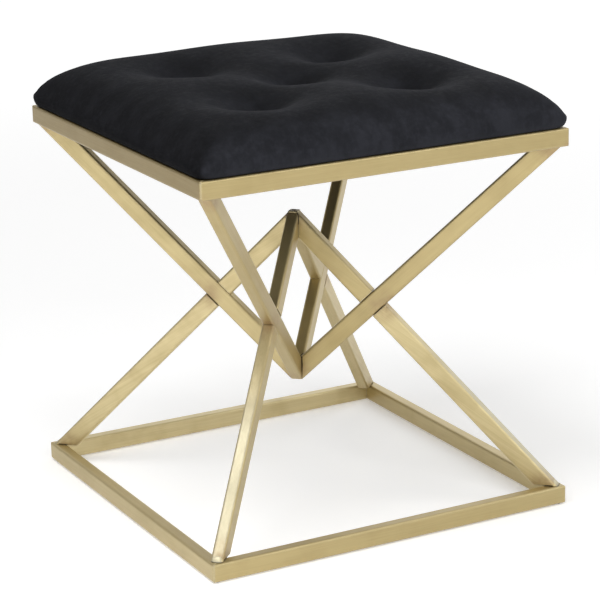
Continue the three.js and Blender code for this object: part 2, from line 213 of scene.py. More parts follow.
class StoolStageSettings(bpy.types.PropertyGroup):
    """Camera, floor and light."""

    azimuth: FloatProperty(
        name="Azimuth", description="Camera's turn about the stool", subtype="ANGLE",
        default=math.radians(-27.83))
    elevation: FloatProperty(
        name="Elevation", description="Camera's height as an angle", subtype="ANGLE",
        default=math.radians(16.67))
    roll: FloatProperty(
        name="Roll", description="Camera's tilt about its own line of sight", subtype="ANGLE",
        default=math.radians(-1.34))
    distance: FloatProperty(
        name="Distance", description="From the camera to the stool's axis", unit="LENGTH",
        min=0.1, max=20, default=2.58695)
    aim_height: FloatProperty(
        name="Aim Height", description="How far the camera is raised along its own upright", unit="LENGTH",
        default=0.19339)
    lens: FloatProperty(
        name="Lens", description="Focal length in millimetres", min=10, max=500, default=143.93)
    floor: FloatVectorProperty(
        name="Floor", description="Colour of the floor", subtype="COLOR", size=3,
        min=0, max=1, default=(0.88, 0.88, 0.88))
    room: FloatVectorProperty(
        name="Room", description="Colour of the light all round", subtype="COLOR", size=3,
        min=0, max=1, default=(0.38, 0.38, 0.38))


# Node helpers
def node(tree, kind, inputs=None, **settings):
    made = tree.nodes.new(kind)
    for key, value in settings.items():
        setattr(made, key, value)
    for key, value in (inputs or {}).items():
        if isinstance(value, bpy.types.NodeSocket):
            tree.links.new(value, made.inputs[key])
        else:
            made.inputs[key].default_value = value
    return made


def new_material(name):
    """An empty material, its tree, and the object's own coordinates in it."""
    material = bpy.data.materials.new(name)
    material.use_nodes = True
    tree = material.node_tree
    tree.nodes.clear()
    return material, tree, node(tree, "ShaderNodeTexCoord").outputs["Object"]


def colour(value):
    return (*value, 1.0)


def maths(tree, operation, *values):
    return node(tree, "ShaderNodeMath", dict(enumerate(values)), operation=operation).outputs[0]


def times(tree, a, b):
    return maths(tree, "MULTIPLY", a, b)


def plus(tree, a, b):
    return maths(tree, "ADD", a, b)


def vector_maths(tree, operation, *values):
    made = node(tree, "ShaderNodeVectorMath", dict(enumerate(values)), operation=operation)
    return made.outputs["Value" if operation in ("DOT_PRODUCT", "DISTANCE", "LENGTH") else "Vector"]


def split_vector(tree, vector):
    """The X, Y and Z of a vector."""
    return tuple(node(tree, "ShaderNodeSeparateXYZ", {0: vector}).outputs)


def mix(tree, factor, a, b, blend="MIX"):
    made = node(tree, "ShaderNodeMix", {0: factor, 6: a, 7: b}, data_type="RGBA", blend_type=blend)
    return made.outputs[2]


def ramp(tree, value, low, high, to_low=0.0, to_high=1.0):
    inputs = {"Value": value, "From Min": low, "From Max": high, "To Min": to_low, "To Max": to_high}
    return node(tree, "ShaderNodeMapRange", inputs, interpolation_type="SMOOTHSTEP").outputs[0]


def noise(tree, vector, scale, detail=2.0, rough=0.5):
    inputs = {"Vector": vector, "Scale": scale, "Detail": detail, "Roughness": rough}
    return node(tree, "ShaderNodeTexNoise", inputs).outputs["Fac"]


def bump(tree, height, strength, distance, normal=None):
    inputs = {"Height": height, "Strength": strength, "Distance": distance}
    if normal is not None:
        inputs["Normal"] = normal
    return node(tree, "ShaderNodeBump", inputs).outputs[0]


def surface_normal(tree):
    return node(tree, "ShaderNodeNewGeometry").outputs["Normal"]


def stretched(tree, where, scale, turn=(0, 0, 0)):
    """The coordinates of a texture that is turned and drawn out along its axes."""
    inputs = {"Vector": where, "Rotation": turn, "Scale": scale}
    return node(tree, "ShaderNodeMapping", inputs, vector_type="TEXTURE").outputs[0]


def background_seen(tree):
    """1 for camera, mirrored and transmitted rays, which all show the background."""
    light_path = node(tree, "ShaderNodeLightPath").outputs
    seen = maths(tree, "MAXIMUM", light_path["Is Camera Ray"], light_path["Is Glossy Ray"])
    return maths(tree, "MAXIMUM", seen, light_path["Is Transmission Ray"])


def finish_surface(material, inputs):
    tree = material.node_tree
    shader = node(tree, "ShaderNodeBsdfPrincipled", inputs)
    node(tree, "ShaderNodeOutputMaterial", {"Surface": shader.outputs[0]})
    return material


# Materials
def nearness(tree, where, points, reach):
    """1 at each of the points, and 0 from that reach on."""
    total = 0.0
    for point in points:
        gap = vector_maths(tree, "DISTANCE", where, point)
        total = maths(tree, "MAXIMUM", total, ramp(tree, gap, reach * 0.25, reach, 1.0, 0.0))
    return total


def brushed_gold(
        name, along, welds=(), reach=None, tone=0.0, slit_towards=None, apex=None, pale_side=None):
    """Plated tube, brushed along its length, with heat marks at its welds."""
    settings = bpy.context.scene.stool_metal
    material, tree, where = new_material(name)
    turn = Vector(along).to_track_quat("X", "Z").to_euler()
    stretch = settings.brush_length / settings.brush_pitch
    grain = stretched(tree, where, (stretch, 1, 1), turn)
    fine = noise(tree, grain, 1 / settings.brush_pitch, 3.0, 0.65)
    broad = noise(tree, grain, 0.22 / settings.brush_pitch, 2.0)
    patches = noise(tree, where, 21.0, 3.0, 0.55)
    cloud = noise(tree, where, 95.0, 2.0)

    soft_edge = node(tree, "ShaderNodeBevel", {"Radius": 1.7 * MM}, samples=8).outputs[0]
    flat = surface_normal(tree)
    edge = ramp(tree, vector_maths(tree, "DOT_PRODUCT", soft_edge, flat), 0.998, 0.972)

    # The tone paints shade over the whole tube: above 0 it darkens the gold, below 0 it lightens it as
    # painted light.
    plain, darkest = np.array(settings.gold), np.array(settings.deep_gold)
    gold = colour(plain * (darkest / plain) ** tone)
    deep = colour(darkest * (darkest / plain) ** max(0.0, tone - 0.5))
    base = mix(tree, ramp(tree, patches, 0.42, 0.74, 0.0, 0.42), gold, deep)
    base = mix(tree, ramp(tree, broad, 0.35, 0.75, 0.0, 0.30), base, deep)
    base = mix(tree, ramp(tree, fine, 0.30, 0.75, 0.0, 0.22), base, deep)
    # The rounded edges turn paler: partly wear, partly a painted highlight.
    base = mix(tree, times(tree, edge, 0.4), base, EDGE_WEAR_AND_HIGHLIGHT)
    if pale_side is not None:
        # Painted highlight: the faces that look up and out, low on a lower leg and on its foot weld, turn
        # pale.
        turned_up = ramp(tree, vector_maths(tree, "DOT_PRODUCT", flat, pale_side), 0.75, 0.95)
        low_part = ramp(tree, split_vector(tree, where)[2], *PAINTED_HIGHLIGHT_HEIGHTS, 0.55, 0.1)
        base = mix(tree, times(tree, turned_up, low_part), base, PAINTED_HIGHLIGHT)
    marked = nearness(tree, where, welds, reach or settings.weld_reach)
    heat = times(tree, marked, ramp(tree, cloud, 0.3, 0.7, 0.25, 0.8))
    base = mix(tree, heat, base, HEAT_MARK)

    rough = ramp(tree, fine, 0.25, 0.75, settings.roughness - 0.06, settings.roughness + 0.08)
    rough = plus(tree, rough, ramp(tree, patches, 0.4, 0.7, -0.02, 0.05))
    rough = plus(tree, rough, times(tree, edge, 0.15))
    rough = plus(tree, rough, times(tree, heat, 0.12))
    painted_gap_shades = []
    if slit_towards is not None:
        painted_gap_shades.append(foot_slit(tree, where, slit_towards))
    if apex is not None:
        painted_gap_shades.append(apex_gap(tree, where, cloud, *apex))
    # The gaps are painted shade: the gold turns nearly black there.
    for dark in painted_gap_shades:
        base = mix(tree, times(tree, dark, 0.93), base, GAP_SHADE)
        rough = plus(tree, rough, times(tree, dark, 0.4))
    normal = bump(tree, fine, 0.10, 0.12 * MM, soft_edge)
    normal = bump(tree, cloud, 0.05, 0.6 * MM, normal)
    return finish_surface(material, {
        "Base Color": base,
        "Metallic": maths(tree, "SUBTRACT", 1.0, times(tree, edge, 0.45)),
        "Roughness": rough,
        "Coat Weight": 0.55,
        "Coat Roughness": 0.30,
        "Coat IOR": 1.5,
        "Normal": normal,
    })


def foot_slit(tree, where, out):
    """Painted shade of the gap under the outer half of a lower leg's foot, where the weld doesn't reach."""
    begins, full, fades, ends = SLIT_REACHES
    lower, upper = (BASE_RAIL_HIGH.z + height for height in SLIT_HEIGHTS)
    low = ramp(tree, split_vector(tree, where)[2], lower, upper, 1.0, 0.0)
    outer = vector_maths(tree, "DOT_PRODUCT", where, out)
    open_part = times(tree, ramp(tree, outer, begins, full), ramp(tree, outer, fades, ends, 1.0, 0.0))
    return times(tree, low, open_part)


def apex_gap(tree, where, cloud, low, high, low_width, high_width):
    """Painted shade of the seam between neighbouring tubes at an apex, where the weld stays below the faces.
    """
    across, back, height = split_vector(tree, where)
    near = maths(tree, "MINIMUM", maths(tree, "ABSOLUTE", across), maths(tree, "ABSOLUTE", back))
    width = ramp(tree, height, low, high, low_width, high_width)
    width = times(tree, width, ramp(tree, cloud, 0.3, 0.7, 0.75, 1.2))
    inside = ramp(tree, maths(tree, "SUBTRACT", near, width), 0.0, 0.35 * MM, 1.0, 0.0)
    begun = ramp(tree, height, low - 1 * MM, low)
    not_ended = ramp(tree, height, high, high + 1.5 * MM, 1.0, 0.0)
    return times(tree, inside, times(tree, begun, not_ended))


def velvet():
    """Short black pile, with its lay pressed here and there."""
    settings = bpy.context.scene.stool_seat
    material, tree, where = new_material("black_velvet")
    lay = noise(tree, where, 34.0, 3.0, 0.6)
    marks = noise(tree, where, 150.0, 3.0, 0.65)
    pile = noise(tree, where, 1500.0, 2.0, 0.7)
    drawn = stretched(tree, where, (1, 1, 5))
    streaks = noise(tree, drawn, 210.0, 2.0, 0.6)
    dark = colour(settings.velvet)
    pale = colour(2.8 * part for part in settings.velvet)
    base = mix(tree, ramp(tree, lay, 0.38, 0.7, 0.0, 0.4), dark, pale)
    base = mix(tree, ramp(tree, marks, 0.46, 0.70, 0.0, 0.4), base, pale)
    base = mix(tree, ramp(tree, streaks, 0.45, 0.75, 0.0, 0.2), base, pale)
    # Painted light: the faces turned to the front get the paler colour of lit tips, and elsewhere the darker
    # pile stays.
    flat = surface_normal(tree)
    painted_light_side = vector_maths(tree, "DOT_PRODUCT", flat, settings.painted_light_side)
    painted_light = times(tree, ramp(tree, painted_light_side, 0.0, 0.85), ramp(tree, lay, 0.35, 0.65, 0.70, 1.16))
    painted_light = times(tree, painted_light, ramp(tree, streaks, 0.35, 0.7, 0.90, 1.08))
    painted_light = times(tree, painted_light, ramp(tree, marks, 0.35, 0.7, 0.88, 1.12))
    base = mix(tree, painted_light, base, colour(settings.tips), "ADD")
    leaning = vector_maths(tree, "NORMALIZE", vector_maths(tree, "ADD", flat, settings.lean))
    normal = bump(tree, lay, 0.30, 2.4 * MM, leaning)
    normal = bump(tree, marks, 0.38, 0.8 * MM, normal)
    normal = bump(tree, streaks, 0.16, 0.6 * MM, normal)
    normal = bump(tree, pile, 0.55, 0.16 * MM, normal)
    return finish_surface(material, {
        "Base Color": base,
        "Roughness": ramp(tree, marks, 0.3, 0.7, 0.78, 0.95),
        "Specular IOR Level": 0.08,
        "Sheen Weight": 0.032,
        "Sheen Roughness": 0.34,
        "Sheen Tint": colour(settings.sheen),
        "Normal": normal,
    })


def foam_block():
    """Cream polyurethane foam with open cells."""
    material, tree, where = new_material("cream_foam")
    cells = node(tree, "ShaderNodeTexVoronoi", {"Vector": where, "Scale": 900.0}).outputs["Distance"]
    tone = noise(tree, where, 30.0, 3.0)
    base = mix(tree, ramp(tree, tone, 0.3, 0.7), (0.80, 0.71, 0.50, 1), (0.70, 0.59, 0.37, 1))
    base = mix(tree, ramp(tree, cells, 0.3, 0.7, 0.0, 0.4), base, (0.45, 0.36, 0.2, 1))
    return finish_surface(material, {
        "Base Color": base,
        "Roughness": 0.95,
        "Specular IOR Level": 0.2,
        "Normal": bump(tree, cells, 0.5, 0.4 * MM),
    })


def plywood():
    """Birch plywood: a long grain on its faces, and plies on its edges."""
    material, tree, where = new_material("birch_plywood")
    grain = stretched(tree, where, (18, 1, 1))
    figure = noise(tree, grain, 160.0, 4.0, 0.6)
    pores = noise(tree, grain, 900.0, 2.0)
    height = maths(tree, "SUBTRACT", split_vector(tree, where)[2], BOARD_LOW.z)
    ply = maths(tree, "PINGPONG", height, 2.4 * MM)
    upright = split_vector(tree, surface_normal(tree))[2]
    is_edge = ramp(tree, maths(tree, "ABSOLUTE", upright), 0.7, 0.3)
    base = mix(tree, ramp(tree, figure, 0.35, 0.7), (0.56, 0.37, 0.19, 1), (0.40, 0.23, 0.10, 1))
    base = mix(tree, ramp(tree, pores, 0.55, 0.75, 0.0, 0.5), base, (0.22, 0.11, 0.05, 1))
    plies = mix(tree, ramp(tree, ply, 0.9 * MM, 1.4 * MM), (0.50, 0.34, 0.18, 1), (0.26, 0.14, 0.06, 1))
    base = mix(tree, is_edge, base, plies)
    return finish_surface(material, {
        "Base Color": base,
        "Roughness": ramp(tree, figure, 0.3, 0.7, 0.55, 0.75),
        "Normal": bump(tree, pores, 0.25, 0.2 * MM),
    })


def dust_sheet():
    """Black spun sheet, pressed with a grid of small points."""
    material, tree, where = new_material("black_spun_sheet")
    grid = {"Vector": where, "Scale": 620.0, "Randomness": 0.15}
    points = node(tree, "ShaderNodeTexVoronoi", grid).outputs["Distance"]
    fibres = noise(tree, where, 420.0, 4.0, 0.7)
    base = mix(tree, ramp(tree, fibres, 0.35, 0.7), (0.012, 0.012, 0.013, 1), (0.035, 0.035, 0.037, 1))
    height = plus(tree, points, times(tree, fibres, 0.6))
    return finish_surface(material, {
        "Base Color": base,
        "Roughness": ramp(tree, points, 0.1, 0.5, 0.6, 0.92),
        "Specular IOR Level": 0.25,
        "Normal": bump(tree, height, 0.5, 0.25 * MM),
    })


def nylon():
    """Moulded black nylon with a fine grain, scuffed underneath."""
    material, tree, where = new_material("black_nylon")
    grain = noise(tree, where, 2400.0, 2.0)
    scuffs = noise(tree, where, 700.0, 4.0, 0.7)
    base = mix(tree, ramp(tree, scuffs, 0.5, 0.75, 0.0, 0.6), (0.02, 0.02, 0.022, 1), (0.09, 0.09, 0.095, 1))
    return finish_surface(material, {
        "Base Color": base,
        "Roughness": ramp(tree, scuffs, 0.3, 0.7, 0.38, 0.62),
        "Normal": bump(tree, grain, 0.2, 0.05 * MM),
    })


def zinc():
    """Zinc-plated steel with a clouded, slightly yellowed skin."""
    material, tree, where = new_material("zinc_plate")
    cloud = noise(tree, where, 260.0, 4.0, 0.6)
    scratch = noise(tree, where, 1900.0, 3.0, 0.7)
    base = mix(tree, ramp(tree, cloud, 0.35, 0.7), (0.62, 0.64, 0.66, 1), (0.50, 0.49, 0.43, 1))
    return finish_surface(material, {
        "Base Color": base,
        "Metallic": 1.0,
        "Roughness": ramp(tree, scratch, 0.3, 0.7, 0.24, 0.44),
        "Normal": bump(tree, scratch, 0.08, 0.05 * MM),
    })


def thread():
    """Waxed linen thread, laid from two strands."""
    material, tree, where = new_material("waxed_thread")
    strands = node(
        tree, "ShaderNodeTexWave", {"Vector": where, "Scale": 380.0, "Distortion": 0.6, "Detail": 1.0},
        wave_type="BANDS", bands_direction="DIAGONAL").outputs["Fac"]
    hairs = noise(tree, where, 2600.0, 3.0, 0.7)
    base = mix(tree, strands, (0.42, 0.36, 0.25, 1), (0.68, 0.61, 0.46, 1))
    return finish_surface(material, {
        "Base Color": base,
        "Roughness": ramp(tree, hairs, 0.3, 0.7, 0.6, 0.85),
        "Normal": bump(tree, strands, 0.6, 0.2 * MM),
    })


def dress(names, material):
    for name in names:
        for material_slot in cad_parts[name].material_slots:
            material_slot.material = material


# Mesh helpers
def deselect():
    if bpy.context.object and bpy.context.object.mode != "OBJECT":
        bpy.ops.object.mode_set(mode="OBJECT")
    bpy.ops.object.select_all(action="DESELECT")


def make_active(piece):
    deselect()
    bpy.context.view_layer.objects.active = piece
    piece.select_set(True)


def begin(name):
    """Names the primitive that was just added."""
    piece = bpy.context.object
    piece.name = name
    piece.data.name = name
    return piece


def settle(piece):
    """Puts the object at the origin and its place in its mesh."""
    make_active(piece)
    bpy.ops.object.transform_apply(location=True, rotation=True, scale=True)
    return piece


def add_modifier(piece, kind, **settings):
    make_active(piece)
    modifier = piece.modifiers.new(kind.title(), kind)
    for key, value in settings.items():
        setattr(modifier, key, value)
    return modifier


def apply_modifier(piece, kind, **settings):
    modifier = add_modifier(piece, kind, **settings)
    bpy.ops.object.modifier_apply(modifier=modifier.name)


def select_faces(piece, test):
    """In edit mode, selects only the faces that pass the test."""
    bpy.ops.mesh.select_all(action="DESELECT")
    bpy.ops.mesh.select_mode(type="FACE")
    bpy.ops.object.mode_set(mode="OBJECT")
    for face in piece.data.polygons:
        face.select = bool(test(face))
    bpy.ops.object.mode_set(mode="EDIT")


def round_edges(piece, axis, radius, steps):
    """Rounds the edges of a box that run along one axis."""
    make_active(piece)
    bpy.ops.object.mode_set(mode="EDIT")
    bpy.ops.mesh.select_all(action="DESELECT")
    bpy.ops.mesh.select_mode(type="EDGE")
    bpy.ops.object.mode_set(mode="OBJECT")
    points = points_of(piece.data)
    for edge in piece.data.edges:
        a, b = (points[i] for i in edge.vertices)
        along = np.abs(a - b)
        edge.select = bool(along[axis] > 0.5 * along.sum())
    bpy.ops.object.mode_set(mode="EDIT")
    bpy.ops.mesh.bevel(offset=radius, segments=steps, affect="EDGES")
    bpy.ops.object.mode_set(mode="OBJECT")


def points_of(mesh):
    flat = np.empty(len(mesh.vertices) * 3)
    mesh.vertices.foreach_get("co", flat)
    return flat.reshape(-1, 3)


def set_points(mesh, points):
    mesh.vertices.foreach_set("co", points.astype(np.float32).ravel())
    mesh.update()


def normals_of(mesh):
    flat = np.empty(len(mesh.vertices) * 3)
    mesh.vertex_normals.foreach_get("vector", flat)
    return flat.reshape(-1, 3)


def copy_of(piece, name, matrix=None):
    """A copy with a mesh of its own, moved by a matrix."""
    twin = piece.copy()
    twin.data = piece.data.copy()
    twin.name = twin.data.name = name
    bpy.context.scene.collection.objects.link(twin)
    if matrix is not None:
        twin.data.transform(matrix)
    return twin


def turned(quarters):
    """A turn about the stool's axis by that many quarters."""
    return Matrix.Rotation(quarters * math.pi / 2, 4, "Z")


def carry(piece, material, replaced=()):
    """Gives a finished piece its material and the body that it rides on."""
    piece.data.materials.clear()
    piece.data.materials.append(material)
    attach(piece, "root")
    if replaced:
        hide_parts(*replaced)


# The frame
def outwards(corner):
    x, y = CORNERS[corner]
    return Vector((x, y, 0)).normalized()


def leg_line(corner, node_name):
    """The direction that a sloped tube runs in, up and out or up and in."""
    low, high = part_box(f"{node_name}_{corner}")
    slope = (high.z - low.z) / (max(abs(low.x), abs(high.x)) * math.sqrt(2))
    sign = 1 if node_name == "upper_leg" else -1
    return (outwards(corner) * sign + UP * slope).normalized()


def upper_side(corner):
    """The direction that the upper faces of a corner's lower leg look in."""
    return (outwards(corner) + UP).normalized()


def gild(tube, *places, **marks):
    """Gives one tube a brushed gold of its own."""
    dress([tube], brushed_gold(f"gold_{tube}", *places, **marks))


class StoolFrameFinish(bpy.types.Operator):
    """Gives every tube and tab of the frame its brushed gold, with the brushing along the tube"""

    bl_idname = "stool.frame_finish"
    bl_label = "Finish Frame"

    def execute(self, context):
        seat_underside = SEAT_RAIL_LOW.z
        rail_ends = [(x * FRAME_HALF, y * FRAME_HALF, seat_underside) for x, y in CORNERS.values()]
        for axis, sides in (((1, 0, 0), ("front", "back")), ((0, 1, 0), ("left", "right"))):
            for side in sides:
                base_painted_shade, seat_painted_shade = RAIL_PAINTED_SHADES[side]
                gild(f"base_rail_{side}", axis, tone=base_painted_shade)
                gild(f"seat_rail_{side}", axis, rail_ends, RAIL_WELD_REACH, seat_painted_shade)
            tabs = brushed_gold(f"gold_tabs_{sides[0]}", axis)
            dress([f"seat_tab_{side}" for side in sides], tabs)
        for corner in CORNERS:
            out = outwards(corner)
            meeting = out * CROSSING_REACH + UP * CROSSING_HEIGHT
            head = out * HEAD_REACH + UP * seat_underside
            foot = out * FOOT_REACH + UP * BASE_RAIL_HIGH.z
            upper_painted_shade, lower_painted_shade, strut_painted_shade = LEG_PAINTED_SHADES[corner]
            rising, falling = leg_line(corner, "upper_leg"), leg_line(corner, "lower_leg")
            gild(
                f"upper_leg_{corner}", rising, [meeting, head, LOWER_APEX],
                tone=upper_painted_shade, apex=LOWER_SEAM)
            gild(
                f"lower_leg_{corner}", falling, [meeting, foot, UPPER_APEX],
                tone=lower_painted_shade, slit_towards=out, pale_side=upper_side(corner))
            gild(
                f"apex_strut_{corner}", falling, [meeting, UPPER_APEX],
                tone=strut_painted_shade, apex=UPPER_SEAM)
        return {"FINISHED"}


class StoolCornerSeams(bpy.types.Operator):
    """Fills the mitres of both square frames, which are welded and ground flush"""

    bl_idname = "stool.corner_seams"
    bl_label = "Add Corner Seams"

    def execute(self, context):
        # Each seam stays a little short of the tubes' skin.
        depth, reach = TUBE_DEPTH - 0.16 * MM, TUBE_WIDTH * math.sqrt(2) - 1.2 * MM
        thickness, rounding, steps = 0.5 * MM, 2.6 * MM, 4
        diagonal = (FRAME_HALF - TUBE_WIDTH / 2) * math.sqrt(2) - 0.45 * MM
        levels = {
            "base": (BASE_RAIL_LOW.z + BASE_RAIL_HIGH.z) / 2,
            "seat": (SEAT_RAIL_LOW.z + SEAT_RAIL_HIGH.z) / 2,
        }
        deselect()
        bpy.ops.mesh.primitive_cube_add(size=1)
        seam = begin("corner_seam")
        seam.scale = (reach, thickness, depth)
        settle(seam)
        round_edges(seam, 1, rounding, steps)
        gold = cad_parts["base_rail_front"].material_slots[0].material
        for level, height in levels.items():
            for turn, corner in enumerate(CORNERS):
                matrix = turned(turn + 0.5) @ Matrix.Translation((diagonal, 0, height))
                carry(copy_of(seam, f"{level}_corner_seam_{corner}", matrix), gold)
        bpy.data.objects.remove(seam)
        return {"FINISHED"}


def weld_lump(name, half_sizes, ripple, waves):
    """A lump of weld: a squashed ball with a rippled skin, its length along Y."""
    deselect()
    bpy.ops.mesh.primitive_uv_sphere_add(segments=28, ring_count=28, radius=1)
    lump = begin(name)
    lump.rotation_euler = (math.pi / 2, 0, 0)
    settle(lump)
    points = points_of(lump.data)
    wave = np.sin(points[:, 1] * waves) + 0.6 * np.sin(points[:, 1] * waves * 1.7 + 1.1)
    # Its ends are blunt, as wide as the tube.
    points[:, 1] = np.sign(points[:, 1]) * np.abs(points[:, 1]) ** 0.6
    points *= np.array(half_sizes)
    points[:, 0] *= 1 + ripple * wave
    points[:, 2] += ripple * half_sizes[2] * np.cos(points[:, 1] / half_sizes[1] * waves * 0.6)
    set_points(lump.data, points)
    bpy.ops.object.shade_smooth()
    return lump


class StoolWelds(bpy.types.Operator):
    """Adds the ground-down welds on the lower legs' feet and the small beads round the upper apex"""

    bl_idname = "stool.welds"
    bl_label = "Add Welds"

    def execute(self, context):
        lean = Matrix.Rotation(math.radians(-44), 4, "Y")
        for name, (half_sizes, ripple, waves, reach, height, flat_below) in LUMPS.items():
            lump = weld_lump(name, half_sizes, ripple, waves)
            lump.data.transform(Matrix.Translation((reach, 0, height)) @ lean)
            points = points_of(lump.data)
            points[:, 2] = np.maximum(points[:, 2], flat_below)
            set_points(lump.data, points)
            for turn, corner in enumerate(CORNERS):
                piece = copy_of(lump, f"{name}_{corner}", turned(turn + 0.5))
                gold = brushed_gold(f"gold_{name}_{corner}", UP, pale_side=upper_side(corner))
                carry(piece, gold)
            bpy.data.objects.remove(lump)
        return {"FINISHED"}


# The seat
def crown_height(x, y, settings):
    """Height of the cushion's top over the floor."""
    half, flatness, edge_power = COVER_HIGH.x + 1.9 * MM, 5.6, 0.38
    folded_reach, middle_share = 38 * MM, 0.875
    over_board, tufted_half = 4 * MM, 150 * MM
    fall_x = np.clip(1 - np.abs(x / half) ** flatness, 0, 1)
    fall_y = np.clip(1 - np.abs(y / half) ** flatness, 0, 1)
    height = settings.crown_rise - settings.crown_fall * (1 - (fall_x * fall_y) ** edge_power)
    # The cover's folded corners hold the foam up a little.
    corner_gap = np.hypot(half - np.abs(x), half - np.abs(y))
    height = height + settings.corner_lift * np.exp(-(corner_gap / folded_reach) ** 2)
    for name, (across, along, depth) in TUFTS.items():
        reach = settings.tuft_reach * (middle_share if name == "middle" else 1)
        gap = np.hypot(x - across * MM, y - along * MM)
        height = height - depth * MM * np.exp(-(gap / reach) ** settings.tuft_point)
    # No tuft is drawn through the board.
    lowest = BOARD_HIGH.z - SEAT_RAIL_HIGH.z + over_board
    tufted = (np.abs(x) < tufted_half) & (np.abs(y) < tufted_half)
    return SEAT_RAIL_HIGH.z + np.where(tufted, np.maximum(height, lowest), height)


def round_corner(x, y, radius):
    """Moves points of square outlines onto the same outlines with round corners."""
    half = np.maximum(np.abs(x), np.abs(y))
    straight = half - np.minimum(radius, half)
    dx, dy = np.abs(x) - straight, np.abs(y) - straight
    inside = (dx > 0) & (dy > 0)
    reach = np.where(inside, (half - straight) / np.maximum(np.hypot(dx, dy), 1e-9), 1)
    new_x = np.where(inside, np.sign(x) * (straight + dx * reach), x)
    new_y = np.where(inside, np.sign(y) * (straight + dy * reach), y)
    return new_x, new_y


def side_profile(t, rim_height):
    """Half width and height down the cushion's side, from the shoulder at 0 to the base at 1."""
    bulge_share, bulge, base = 0.62, COVER_HIGH.x, COVER_HIGH.x - 3.5 * MM
    bulge_height = SEAT_RAIL_HIGH.z + 10.5 * MM
    upper = np.clip(t / bulge_share, 0, 1)
    lower = np.clip((t - bulge_share) / (1 - bulge_share), 0, 1)
    drop = np.maximum(rim_height - bulge_height, 1 * MM)
    fall = bulge_height - COVER_LOW.z

    def hermite(s, start, end, start_slope, end_slope):
        return ((2 * s**3 - 3 * s**2 + 1) * start + (s**3 - 2 * s**2 + s) * start_slope
                + (-2 * s**3 + 3 * s**2) * end + (s**3 - s**2) * end_slope)

    half_up = hermite(upper, SHOULDER, bulge, drop * 0.55, 0)
    height_up = hermite(upper, rim_height, bulge_height, -drop, -drop * 0.9)
    half_low = hermite(lower, bulge, base, 0, -5 * MM)
    height_low = hermite(lower, bulge_height, COVER_LOW.z, -fall * 1.1, -fall * 0.5)
    below = t > bulge_share
    return np.where(below, half_low, half_up), np.where(below, height_low, height_up)


def cushion_form(settings):
    """The seat's closed form: a grid pulled into the crown, with its rim extruded down the sides."""
    lines, rings, fade_reach = 80, 12, 90 * MM
    top_radius, side_radius, base_radius = 22 * MM, 20 * MM, 13 * MM
    deselect()
    bpy.ops.mesh.primitive_grid_add(x_subdivisions=lines, y_subdivisions=lines, size=SHOULDER * 2)
    form = begin("velvet_cover")
    bpy.ops.object.mode_set(mode="EDIT")
    bpy.ops.mesh.select_mode(type="EDGE")
    bpy.ops.mesh.select_all(action="DESELECT")
    bpy.ops.mesh.select_non_manifold()
    for _ in range(rings):
        bpy.ops.mesh.extrude_edges_move(TRANSFORM_OT_translate={"value": (0, 0, -1 * MM)})
    bpy.ops.mesh.edge_face_add()
    bpy.ops.mesh.select_all(action="SELECT")
    bpy.ops.mesh.normals_make_consistent(inside=False)
    bpy.ops.object.mode_set(mode="OBJECT")

    points = points_of(form.data)
    x, y = points[:, 0].copy(), points[:, 1].copy()
    step = np.round(-points[:, 2] / (1 * MM))
    half = np.maximum(np.abs(x), np.abs(y))
    fade = np.clip(1 - (SHOULDER - half) / fade_reach, 0, 1)
    top_x, top_y = round_corner(x, y, top_radius * fade)
    rim_height = crown_height(top_x, top_y, settings)
    side_half, side_height = side_profile(step / rings, rim_height)
    widen = side_half / SHOULDER
    radius = np.where(step < rings / 2, side_radius, base_radius)
    side_x, side_y = round_corner(x * widen, y * widen, radius)
    on_top = step < 0.5
    points[:, 0] = np.where(on_top, top_x, side_x)
    points[:, 1] = np.where(on_top, top_y, side_y)
    points[:, 2] = np.where(on_top, rim_height, side_height)
    set_points(form.data, points)
    return form


def swell_cushion(piece, settings):
    """Presses the cover out from inside with a cloth simulation, and keeps it near the real outline."""
    rim, underside, stitch_reach, last_step = 6 * MM, 5 * MM, 7 * MM, 20
    make_active(piece)
    full = points_of(piece.data)
    normals = normals_of(piece.data)
    held = np.clip((full[:, 2] - COVER_LOW.z) / rim, 0, 1)
    for across, along, _ in TUFTS.values():
        gap = np.hypot(full[:, 0] - across * MM, full[:, 1] - along * MM)
        near = (gap < stitch_reach) & (full[:, 2] > COVER_LOW.z + underside)
        held = np.where(near, 0, held)
    start = full - normals * (settings.swell * held)[:, None]
    set_points(piece.data, start)

    pinned = piece.vertex_groups.new(name="pinned")
    for index in np.where(held < 0.5)[0]:
        pinned.add([int(index)], 1.0, "REPLACE")
    cloth = add_modifier(piece, "CLOTH")
    for key, value in CLOTH.items():
        setattr(cloth.settings, key, value)
    cloth.settings.vertex_group_mass = pinned.name
    cloth.settings.effector_weights.gravity = 0
    scene = bpy.context.scene
    for step in range(1, last_step + 1):
        scene.frame_set(step)
    bpy.ops.object.modifier_apply(modifier=cloth.name)
    scene.frame_set(1)

    moved = points_of(piece.data) - start
    outward = np.sum(moved * normals, axis=1)
    sideways = moved - normals * outward[:, None]
    low = settings.swell * held
    high = (settings.swell + settings.swell_play) * held
    outward = np.clip(outward, low, high)
    length = np.maximum(np.linalg.norm(sideways, axis=1), 1e-9)
    sideways *= (np.minimum(length, settings.swell_play) / length * held)[:, None]
    set_points(piece.data, start + normals * outward[:, None] + sideways)
    piece.vertex_groups.clear()


def remesh(piece, size):
    make_active(piece)
    piece.data.remesh_voxel_size = size
    piece.data.remesh_voxel_adaptivity = 0
    bpy.ops.object.voxel_remesh()


